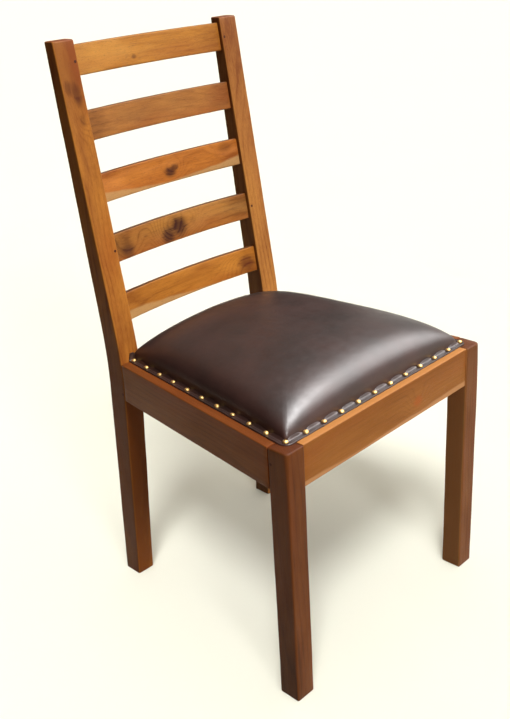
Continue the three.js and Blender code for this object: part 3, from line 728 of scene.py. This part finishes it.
slats = {
    "middles": (941.0, 840.5, 740.0, 639.5, 539.0),
    "half": 156.7,
    "tall": 48.0,
    "thick": 12.0,
    "tilt": 8.25,
    "bow": 10.0,
    "set": 13.0,            # from the post's front face to the slat's middle at its ends
    "edge": 2.4,
    "uneven": 0.5,
    "wood": {
        "axes": "ZYX", "red": "#a4501f", "pale": "#c49a62", "knot": "#47200e", "wear": 0.3,
        # the top faces are painted darker: painted shade
        "darkerAlong": ((95, 150, 0.45), (-105, -145, 0.4)), "faces": (((0, 0, 1), "#5a3216", 0.75),),
    },
    # what differs from slat to slat, from the top one down
    "own": (
        {
            "seed": 31.0, "pith": (40, 20), "lean": (1.0, 1.5), "light": "#cc8836", "dark": "#96581e",
            "ringDepth": 0.3, "patchDepth": 0.5, "goldness": 0.35, "gold": "#dc9f50",
            "knots": ((-9, -35, 5, 1.3, 0.6),),
        },
        {
            "seed": 37.0, "pith": (-30, 16), "lean": (1.6, 3.0), "light": "#b8783b", "dark": "#7f4c22",
            "ringDepth": 0.4, "patchDepth": 0.6, "goldness": 0.3, "gold": "#c58a48",
        },
        {
            "seed": 41.0, "pith": (38, 18), "lean": (1.2, -1.5), "light": "#cc7d30", "dark": "#8f4a16",
            "ringDepth": 0.3, "patchDepth": 0.65, "goldness": 0.45, "gold": "#e2924a",
            "sapwood": (-20.0, -0.012, 0.0006),
            "knots": ((-5, -2, 11, 1.6, 1.0), (1, 10, 7, 1.5, 0.8), (12, 128, 10, 2.0, 0.4)),
        },
        {
            "seed": 43.0, "pith": (26, 14), "lean": (1.0, 2.4), "light": "#bb7c36", "dark": "#7a4a1e",
            "ringDepth": 0.5, "patchDepth": 0.55, "goldness": 0.35, "gold": "#cc9350", "knot": "#3f1d12",
            "knots": (
                (1, -5, 22, 1.15, 1.0), (-9, -33, 18, 1.15, 0.95),
                (4, 30, 8, 1.3, 0.15), (-9, -130, 15, 1.4, 0.75),
            ),
        },
        {
            "seed": 47.0, "pith": (-22, 15), "lean": (2.2, -4.0), "light": "#c47c2c", "dark": "#8c4f18",
            "ringDepth": 0.4, "patchDepth": 0.55, "goldness": 0.4, "gold": "#d98f3a", "knot": "#5c2912",
            "sapwood": (-17.5, -0.06, 0.00002),
            "knots": ((-3, 136, 20, 1.3, 0.85),),
        },
    ),
}

# A slat is bowed back: its middle lies at set + bow (1 - (x / half)^2) behind the posts' faces.
for number, middle in enumerate(slats["middles"]):
    front = float(postLine(middle, "front"))
    finish = woodFinish("stainedHardwoodSlat" + str(number + 1), {
        "centre": (0, front + 20, middle), **slats["wood"], **slats["own"][number],
    })
    x, inset = bevelledRun(-slats["half"], slats["half"], 56, 0.6, 0.6, 3)
    thick, tall = slats["thick"] / 2 - inset, slats["tall"] / 2 - inset
    ring, nearness = roundedSection(
        -thick, thick, -tall, tall, sanded(x, 12.0 + number, slats["edge"], slats["uneven"]))
    tilt = math.radians(slats["tilt"])
    back = front + slats["set"] + slats["bow"] * (1 - (x / slats["half"]) ** 2)
    y = back[:, None] + ring[:, :, 0] * math.cos(tilt) + ring[:, :, 1] * math.sin(tilt)
    z = middle - ring[:, :, 0] * math.sin(tilt) + ring[:, :, 1] * math.cos(tilt)
    rings = np.stack([np.broadcast_to(x[:, None], y.shape), y, z], -1)
    slat = closedLoft("backSlat" + str(number + 1), rings, finish, nearness, slot="hardwood")
    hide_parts("slat_" + str(number + 1))
print("slats made")

# The ends of the dowels that pin the joints: end grain that took the stain dark.
pins = {
    "radius": 2.4,
    "proud": 0.12,
    "stem": 1.5,
    # for each pin on the chair's right: where it is, the way it faces, and a way along the face
    "places": (
        ((162.5, float(postLine(941.0, "front")), 941.0), (0, -1, 0.145), (1, 0, 0)),
        ((162.5, float(postLine(639.5, "front")), 639.5), (0, -1, 0.145), (1, 0, 0)),
        ((244.0, -230.62, 424.0), (1, 0, 0), (0, 1, 0)),
        ((197.0, float(postLine(415.0, "front")) + 5.5, 392.0), (1, 0, 0), (0, 1, 0)),
    ),
    "light": "#5e3320",
    "dark": "#3a1c10",
}


def dowelEndWood(values):
    material, tree = newMaterial("dowelEndGrain")
    place = addNode(tree, "TexCoord")
    dots = addNode(tree, "TexNoise", {"Vector": place.outputs["Object"], "Scale": 1800.0, "Detail": 2.0})
    tone = addNode(tree, "Mix", {
        0: dots, 6: linear(values["dark"]), 7: linear(values["light"]),
    }, data_type="RGBA")
    shader = addNode(tree, "BsdfPrincipled", {
        "Base Color": tone, "Roughness": 0.6, "Specular IOR Level": 0.08,
    })
    addNode(tree, "OutputMaterial", {0: shader})
    return material


# Low discs with a rounded rim, each a stack of rings over a short stem: a point of a ring
# lies at place + share radius (cos t level + sin t other) + rise normal.
def makePins(values):
    share = np.array([1.0, 1.0, 0.93, 0.8, 0.55, 0.25])
    rise = np.array([0.0, 0.0, 0.25, 0.59, 0.91, 1.0]) * values["proud"]
    rise[0] = -values["stem"]
    turn = np.linspace(0, 2 * math.pi, 20, endpoint=False)[:, None]
    places, normals, levels = np.array(values["places"], float).transpose(1, 0, 2)
    flip = np.array([-1.0, 1.0, 1.0])
    places, normals = np.concatenate([places * flip, places]), np.concatenate([normals * flip, normals])
    levels = np.concatenate([levels, levels])
    normals = normals / np.linalg.norm(normals, axis=1)[:, None]
    others = np.cross(normals, levels)
    around = np.cos(turn) * levels[:, None, None] + np.sin(turn) * others[:, None, None]
    rings = share[:, None, None] * values["radius"] * around + rise[:, None, None] * normals[:, None, None]
    ends = rise[[0, -1], None] * normals[:, None]
    points = places[:, None] + np.concatenate([rings.reshape(len(places), -1, 3), ends], 1)
    makeForms("dowelPins", points, len(share), len(turn), dowelEndWood(values), sharpOver=60, slot="hardwood")


makePins(pins)
print("dowel pins made")

# The seat cover is a trapezoid that lies flat on the rails as far as the foot of its crown.
cover = {
    "front": -246.62,
    "back": 179.38,
    "sideIn": 18.0,          # from the rail's outer face to the leather's edge
    "base": 450.35,          # heights
    "hem": 451.2,
    "footZ": 452.3,
    "crown": 70.0,           # over footZ
    # how far in from the edge the loops of the hem lie, and how far over its height
    "hemLoops": ((0.0, -0.5), (0.8, 0.0), (4.0, 0.0), (8.2, 0.3)),
    "foot": 9.5,             # how far in the crown starts
    "corner": 11.0,
    "footCorner": 6.0,
    "middle": -33.62,
    "reach": 203.5,          # from there to where the crown ends, front and back
    "loops": 34,
    "columns": (34, 9),      # steps along a side and round a corner
    "held": 6,               # loops that the cloth is held by
    "frames": 20,
    "quality": 8,
    "mass": 0.4,
    "stretching": 40,
    "bending": 15,
    "pressure": 4.0,
    "tightness": 0.014,      # the leather is cut this much small, so that it folds nowhere
    "mostSwell": 2.4,
    "evened": 30,            # passes that even the swelling out
    "freeOver": 34.0,        # the height over which it comes free of its hem
    "postGap": 0.45,
    "paint": "#452c27",
    "shade": "#35231f",
}


# A loop round the cover, drawn in by inset: straight sides joined by arcs of radius corner,
# each of which starts corner tan(turn / 2) before the tip.
def coverLoop(inset, corner):
    front, back = cover["front"] + inset, cover["back"] - inset
    near, far = (insideRail(y, cover["sideIn"] + inset) for y in (front, back))
    tips = np.array([[near, front], [far, back], [-far, back], [-near, front]])
    steps, bends = cover["columns"]
    leaving = np.roll(tips, -1, axis=0) - tips
    leaving = leaving / np.linalg.norm(leaving, axis=1)[:, None]
    coming = np.roll(leaving, 1, axis=0)
    turns = np.arccos(np.einsum("ij,ij->i", leaving, coming))
    reach = corner * np.tan(turns / 2)
    starts = tips - coming * reach[:, None]
    ends = tips + leaving * reach[:, None]
    inward = np.stack([-coming[:, 1], coming[:, 0]], -1)
    angle = (turns[:, None] * np.linspace(0, 1, bends, endpoint=False))[..., None]
    arcs = np.sin(angle) * coming[:, None] + (1 - np.cos(angle)) * inward[:, None]
    arcs = starts[:, None] + corner * arcs
    step = np.linspace(0, 1, steps, endpoint=False)[:, None]
    sides = ends[:, None] * (1 - step) + np.roll(starts, -1, axis=0)[:, None] * step
    return np.concatenate([arcs, sides], 1).reshape(-1, 2)


# The crown's share of its height: (1 - |u|^1.8)^0.3 (1 - |v|^3.4)^0.4, where u and v run
# from -1 to 1 across the seat and along it.
def crownShare(x, y):
    u = np.clip(np.abs(x) / insideRail(y, cover["sideIn"] + cover["foot"]), 0, 1)
    v = np.clip(np.abs(y - cover["middle"]) / cover["reach"], 0, 1)
    return (1 - u ** 1.8) ** 0.3 * (1 - v ** 3.4) ** 0.4


# Loops of the cover's top, from its hem to the middle. Above the foot they are the crown's
# contours: on each ray from the middle the place where the crown has the loop's height is
# found by halving, and kept inside the foot's own loop.
def coverLoops(values):
    hem = []
    for inset, over in values["hemLoops"]:
        loop = coverLoop(inset, values["corner"] + 0.6 * inset)
        hem.append(np.column_stack([loop, np.full(len(loop), values["hem"] + over)]))
    foot = coverLoop(values["foot"], values["footCorner"])
    centre = np.array([0, values["middle"]])
    reach = np.linalg.norm(foot - centre, axis=1)
    way = (foot - centre) / reach[:, None]
    step = 1 - (np.arange(1, values["loops"]) / values["loops"]) ** 2.2
    share = (1 - step ** 1.8) ** 0.3
    low, high = np.zeros((len(share), len(foot))), np.ones((len(share), 1)) * reach
    for halving in range(40):
        mid = (low + high) / 2
        spot = centre + mid[..., None] * way
        above = crownShare(spot[..., 0], spot[..., 1]) > share[:, None]
        low, high = np.where(above, mid, low), np.where(above, high, mid)
    spot = centre + low[..., None] * way
    share = np.minimum(crownShare(spot[..., 0], spot[..., 1]), share[:, None])
    height = values["footZ"] + values["crown"] * share
    crown = np.concatenate([spot, height[..., None]], -1)
    foot = np.column_stack([foot, np.full(len(foot), values["footZ"])])
    return np.concatenate([np.array(hem), foot[None], crown])


# Upholstery leather, dyed aubergine brown and finished smooth: a soft broad gloss, a very
# fine pebble and a faint unevenness where it is stretched over the foam.
def leatherFinish(values):
    material, tree = newMaterial("brownUpholsteryLeather")
    place = addNode(tree, "TexCoord").outputs["Object"]
    slow = addNode(tree, "TexNoise", {"Vector": place, "Scale": 14.0, "Detail": 3.0})
    tone = addNode(tree, "MapRange", {"Value": slow, "From Min": 0.35, "From Max": 0.68})
    colour = addNode(tree, "Mix", {
        0: tone, 6: linear(values["paint"]), 7: linear(values["shade"]),
    }, data_type="RGBA")
    # pebbles about 1.2 mm apart, drawn in by hair creases between them
    pebble = addNode(tree, "TexVoronoi", {
        "Vector": place, "Scale": 830.0, "Randomness": 1.0,
    }, feature="SMOOTH_F1")
    dimple = addNode(tree, "TexNoise", {"Vector": place, "Scale": 60.0, "Detail": 3.0})
    bump = addNode(tree, "Bump", {"Strength": 0.25, "Distance": 0.0012, "Height": dimple})
    bump = addNode(tree, "Bump", {
        "Strength": 0.22, "Distance": 0.00012, "Height": pebble.outputs["Distance"], "Normal": bump,
    }, invert=True)
    gloss = addNode(tree, "MapRange", {
        "Value": dimple, "From Min": 0.3, "From Max": 0.7, "To Min": 0.35, "To Max": 0.42,
    })
    shader = addNode(tree, "BsdfPrincipled", {
        "Base Color": colour, "Roughness": gloss, "Normal": bump, "IOR": 1.46,
    })
    addNode(tree, "OutputMaterial", {0: shader})
    return material


# puts what the modifiers make of a piece into its own mesh
def settle(piece):
    made = bpy.data.meshes.new_from_object(piece.evaluated_get(bpy.context.evaluated_depsgraph_get()))
    piece.modifiers.clear()
    piece.data = made


# The cover's top as a sheet of cloth, held along its hem and blown up by the foam below.
# No point goes further than mostSwell from where it started, and less near the hem, and
# each takes the mean of its own way (twice) and its neighbours' ways, again and again.
def swollen(values, loops):
    rows, columns = loops.shape[:2]
    points = np.concatenate([loops.reshape(-1, 3), loops[-1:].mean(1)])
    fan = ringFan((rows - 1) * columns, columns, rows * columns)
    mesh = bpy.data.meshes.new("coverCloth")
    mesh.from_pydata((points * mm).tolist(), [], gridFaces(rows, columns).tolist() + fan.tolist())
    cloth = bpy.data.objects.new("coverCloth", mesh)
    bpy.context.scene.collection.objects.link(cloth)
    cloth.vertex_groups.new(name="held").add(list(range(values["held"] * columns)), 1.0, "REPLACE")
    leather = cloth.modifiers.new("leather", "CLOTH")
    leather.point_cache.frame_end = values["frames"]
    settings = leather.settings
    settings.vertex_group_mass = "held"
    settings.quality = values["quality"]
    settings.mass = values["mass"]
    settings.tension_stiffness = settings.compression_stiffness = values["stretching"]
    settings.bending_stiffness = values["bending"]
    settings.shrink_min = values["tightness"]
    settings.use_pressure = True
    settings.uniform_pressure_force = values["pressure"]
    settings.effector_weights.gravity = 0
    for step in range(values["frames"]):
        bpy.context.scene.frame_set(step + 1)
    eased = cloth.evaluated_get(bpy.context.evaluated_depsgraph_get()).to_mesh()
    moved = np.empty(len(points) * 3, np.float32)
    eased.vertices.foreach_get("co", moved)
    moved = moved.reshape(-1, 3) / mm - points
    length = np.linalg.norm(moved, axis=1)
    print("cloth moved by up to", round(float(length.max()), 1), "mm")
    freed = np.clip((points[:, 2] - values["footZ"]) / values["freeOver"], 0, 1)
    freed = freed ** 2 * (3 - 2 * freed)
    moved = moved * (np.minimum(length, values["mostSwell"]) / np.maximum(length, 1e-6) * freed)[:, None]
    moved = moved[:-1].reshape(rows, columns, 3)
    for turn in range(values["evened"]):
        moved = (2 * moved + np.roll(moved, 1, 1) + np.roll(moved, -1, 1)) / 4
        grown = np.concatenate([moved[:1], moved, moved[-1:]])
        moved = (2 * moved + grown[:-2] + grown[2:]) / 4
    bpy.data.objects.remove(cloth)
    bpy.context.scene.frame_set(1)
    return loops + moved


# The cover: the swollen top, closed by a flat underside, rounded by one subdivision, with
# a notch round each post.
def makeCover(values):
    loops = coverLoops(values)
    loops = swollen(values, loops)
    under = loops[0] * np.array([1, 1, 0]) + np.array([0, 0, values["base"]])
    inner = under * np.array([0.5, 0.5, 1]) + np.array([0, values["middle"] / 2, 0])
    rings = np.concatenate([inner[None], under[None], loops])
    piece = closedLoft("leatherCover", rings, leatherFinish(values), sharpOver=70, slot="leather")
    smooth = piece.modifiers.new("rounding", "SUBSURF")
    smooth.levels = smooth.render_levels = 1
    cutters = []
    for side in (-1, 1):
        grown, nearness = postRings(posts, side, grow=values["postGap"])
        cutter = closedLoft("postCutter", grown, piece.data.materials[0])
        cutters.append(cutter)
        notch = piece.modifiers.new("notch", "BOOLEAN")
        notch.operation = "DIFFERENCE"
        notch.solver = "EXACT"
        notch.object = cutter
    settle(piece)
    for cutter in cutters:
        bpy.data.objects.remove(cutter)
    piece.data.polygons.foreach_set("use_smooth", [True] * len(piece.data.polygons))
    piece.data.set_sharp_from_angle(angle=math.radians(55))
    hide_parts("seat_leather", "seat_foam")
    return piece


leatherCover = makeCover(cover)
print("leather cover made:", len(leatherCover.data.polygons), "faces")

# A folded leather strip is nailed down along the cover's edge. Between nails its inner edge
# stands up against the crown.
strip = {
    "line": 22.5,            # the nails' line, in from the side rails' outer faces
    "frontLine": -242.12,
    "backLine": 174.88,
    "backHalf": 155.5,
    "corner": 8.0,
    "outside": 6.4,          # from the nails' line to the edges
    "inside": 5.3,
    "base": 450.1,
    "thick": 1.6,
    "bead": 0.8,
    "ridge": 0.7,
    "lift": 3.8,
    "pull": (3.0, 15.0),     # how far from a nail it is held down, and free again
    "postGap": 0.5,
    "turnUp": 15.0,          # at the posts
    "turnRadius": 4.0,
    "step": 1.3,
}
nails = {
    "radius": 4.6,
    "height": 3.2,
    "rim": 0.15,             # how far the rim goes down
    "count": {"front": 12, "left": 10, "right": 10, "back": 8},
    "lean": 5.0,             # degrees that a nail may stand off square
    "brass": "#cfa96c",
    "tarnish": "#a3733c",
}


# where a row's nails stand, and how high their tops reach
def nailPlaces(row, count):
    boxes = [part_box("nail_" + row + "_" + str(i + 1).zfill(2)) for i in range(count)]
    return np.array([[(low[0] + high[0]) / 2, (low[1] + high[1]) / 2, high[2]] for low, high in boxes]) / mm


nailSpots = {row: nailPlaces(row, count) for row, count in nails["count"].items()}


# Half of the strip's way, from the middle of the front to the top of its turned-up end:
# straight, an arc round the corner, straight, an arc upward, straight. Each point has the
# direction that leads inward and the direction that leads off the seat.
def halfStripPath(values):
    left, back, up = np.array([-1.0, 0, 0]), np.array([0, 1.0, 0]), np.array([0, 0, 1.0])
    angle = math.atan(slant)
    along = np.array([math.sin(angle), math.cos(angle), 0.0])
    inner = np.array([math.cos(angle), -math.sin(angle), 0.0])
    turn = math.pi / 2 + angle
    tip = np.array([-insideRail(values["frontLine"], values["line"]), values["frontLine"], 0.0])
    reach = values["corner"] * math.tan(turn / 2)
    first, start = tip - reach * left, tip + reach * along
    far = (float(postLine(452.0, "front")) - values["postGap"] - values["turnRadius"] - start[1]) / along[1]
    last = start + far * along

    x = np.arange(0, -first[0], values["step"])[:, None]
    stretches = [(x * left + tip * back, back, up)]
    bend = np.arange(0, turn, 0.09)[:, None]
    arc = first + values["corner"] * (np.sin(bend) * left + (1 - np.cos(bend)) * back)
    stretches.append((arc, np.cos(bend) * back - np.sin(bend) * left, up))
    run = np.arange(0, far, values["step"])[:, None]
    stretches.append((start + run * along, inner, up))
    bend = np.linspace(0, math.pi / 2, 8)[:, None]
    arc = last + values["turnRadius"] * (np.sin(bend) * along + (1 - np.cos(bend)) * up)
    stretches.append((arc, inner, np.cos(bend) * up - np.sin(bend) * along))
    rise = np.arange(values["step"], values["turnUp"] - values["turnRadius"], values["step"])[:, None]
    stretches.append((arc[-1] + rise * np.array([0, 0.05, 1.0]), inner, -along))
    stretches = [np.broadcast_arrays(*stretch) for stretch in stretches]
    return [np.concatenate(kind) for kind in zip(*stretches)]


# The strip's section: thick, with a bead along its outer edge, a low ridge in the middle and
# an inner edge that rises by lift between nails. Each nail pulls it down, and it wanders a
# little, as two sines of unlike lengths.
def stripRings(values, spots, inward, off, holes):
    gap = np.linalg.norm(spots[:, None, :2] - holes[None, :, :2], axis=2).min(1)
    free = np.clip((gap - values["pull"][0]) / (values["pull"][1] - values["pull"][0]), 0, 1)
    free = free * (2 - free)
    run = np.cumsum(np.append(0, np.linalg.norm(np.diff(spots, axis=0), axis=1)))
    wander = np.sin(run / 13.0) + 0.8 * np.sin(run / 5.3 + 1.0)
    share = np.linspace(0, 1, 27)        # from the outer edge to the inner, closer near both
    share = (1 - np.cos(share * math.pi)) / 4 + share / 2
    bead = values["bead"] * np.exp(-((share - 0.1) / 0.06) ** 2)
    ridge = values["ridge"] * np.exp(-((share - 0.5) / 0.1) ** 2)
    lip = np.clip((share - 0.6) / 0.34, 0, 1) ** 1.6
    rim = np.sqrt(np.clip(share / 0.05, 0, 1)) * np.sqrt(np.clip((1 - share) / 0.04, 0, 1))
    lift = 0.3 + values["lift"] * free + 0.2 * wander
    top = values["thick"] + bead * (0.6 + 0.4 * free[:, None]) + ridge * free[:, None] + lip * lift[:, None]
    top = top * (0.35 + 0.65 * rim)
    inside = values["inside"] - 1.0 * (1 - free)
    outside = values["outside"] * (1 - 0.7 * np.clip(spots[:, 2] / values["turnUp"], 0, 1))
    wide = -outside[:, None] + (outside + inside)[:, None] * share + (0.12 * wander)[:, None] * (1 - share)
    low = np.stack([wide[:, [26, 17, 9, 0]], np.zeros((len(spots), 4))], -1)
    ring = np.concatenate([np.stack([wide, top], -1), low], 1)
    base = spots + np.array([0, 0, values["base"]])
    return base[:, None] + ring[..., :1] * inward[:, None] + ring[..., 1:] * off[:, None]


# one strip round the front and the sides, and one along the back
def makeStrips(values, finish):
    half = halfStripPath(values)
    path = [np.concatenate([(kind * np.array([-1.0, 1.0, 1.0]))[:0:-1], kind]) for kind in half]
    holes = np.concatenate([nailSpots["front"], nailSpots["left"], nailSpots["right"]])
    rings = stripRings(values, *path, holes)
    closedLoft("leatherStrip", rings, finish, sharpOver=75, slot="leather")
    x = np.arange(-values["backHalf"], values["backHalf"] + 0.1, values["step"])[:, None]
    path = np.broadcast_arrays(x * [1, 0, 0] + [0, values["backLine"], 0], [0.0, -1.0, 0.0], [0.0, 0.0, 1.0])
    rings = stripRings(values, *path, nailSpots["back"])
    closedLoft("leatherStripBack", rings, finish, sharpOver=75, slot="leather")


makeStrips(strip, leatherCover.data.materials[0])
print("leather strips made")


# Upholstery nails: pressed brass, once polished, now warm and dulled in places by handling.
def brassFinish(values):
    material, tree = newMaterial("agedPolishedBrass")
    place = addNode(tree, "TexCoord")
    dull = addNode(tree, "TexNoise", {"Vector": place.outputs["Object"], "Scale": 260.0, "Detail": 3.0})
    patch = addNode(tree, "MapRange", {
        "Value": dull, "From Min": 0.5, "From Max": 0.72, "To Min": 0.0, "To Max": 0.7,
    })
    colour = addNode(tree, "Mix", {
        0: patch, 6: linear(values["brass"]), 7: linear(values["tarnish"]),
    }, data_type="RGBA")
    gloss = addNode(tree, "MapRange", {
        "Value": dull, "From Min": 0.3, "From Max": 0.7, "To Min": 0.42, "To Max": 0.58,
    })
    bump = addNode(tree, "Bump", {"Strength": 0.3, "Distance": 0.0002, "Height": dull})
    shader = addNode(tree, "BsdfPrincipled", {
        "Base Color": colour, "Metallic": 1.0, "Roughness": gloss, "Normal": bump,
    })
    addNode(tree, "OutputMaterial", {0: shader})
    return material


# A row of nails: each head is a dome, height (1 - r^2.4)^0.55, over a short turned-in rim,
# leaning a few degrees its own way.
def makeNails(row, values, finish):
    spots = nailSpots[row]
    chance = np.random.default_rng(len(row) * 7)
    turn = np.linspace(0, 2 * math.pi, 20, endpoint=False)
    share = np.array([0.5, 0.9, 1.0, 0.985, 0.93, 0.84, 0.7, 0.52, 0.3, 0.12])
    rise = values["height"] * (1 - share ** 2.4) ** 0.55
    rise[:3] = (-values["rim"], -values["rim"], 0.05)
    wide = share[:, None] * values["radius"]
    head = np.stack([wide * np.cos(turn), wide * np.sin(turn), rise[:, None] + 0 * turn], -1).reshape(-1, 3)
    head = np.concatenate([head, [[0, 0, -values["rim"]], [0, 0, values["height"]]]])
    lean = np.tan(np.radians(chance.uniform(-values["lean"], values["lean"], (len(spots), 2))))
    size = chance.uniform(0.95, 1.0, len(spots))
    points = np.broadcast_to(head, (len(spots),) + head.shape).copy()
    points[:, :, 2] += points[:, :, 0] * lean[:, :1] + points[:, :, 1] * lean[:, 1:]
    points = points * size[:, None, None]
    points[:, :, 2] += (spots[:, 2] - values["height"])[:, None]
    points[:, :, :2] += spots[:, None, :2]
    piece = makeForms(
        "brassNails" + row.capitalize(), points, len(share), len(turn), finish, sharpOver=50, slot="brass")
    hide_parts(*["nail_" + row + "_" + str(i + 1).zfill(2) for i in range(len(spots))])


brass = brassFinish(nails)
for row in nailSpots:
    makeNails(row, nails, brass)
print("nails made")

# What is kept from the CAD under the seat: corner blocks and the board that carries the pad.
underSeat = {
    "block": {
        "seed": 51.0, "centre": (0, 0, 400), "axes": "XZY", "pith": (60, 30), "lean": (2.0, 3.0),
        "light": "#c59a66", "dark": "#9a6f42", "red": "#a8713f", "knot": "#6a4426",
        "ringDepth": 0.6, "patchDepth": 0.5,
    },
    "board": {
        "seed": 57.0, "centre": (0, 0, 440), "axes": "ZYX", "pith": (90, 20), "lean": (3.0, 2.0),
        "light": "#c8a06e", "dark": "#a47a4c", "red": "#b07c4a", "knot": "#7a5230",
        "ringDepth": 0.45, "patchDepth": 0.5, "ringSpacing": 14.0, "warp": 90,
    },
}
blockWood = woodFinish("rawSoftwoodBlock", underSeat["block"])
boardWood = woodFinish("rawPlywoodBoard", underSeat["board"])
for name, finish in (
    ("front_block_left", blockWood), ("front_block_right", blockWood),
    ("rear_block_left", blockWood), ("rear_block_right", blockWood), ("seat_board", boardWood),
):
    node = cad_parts[name]
    node.data.materials.clear()
    node.data.materials.append(finish)
print("wood under the seat finished")
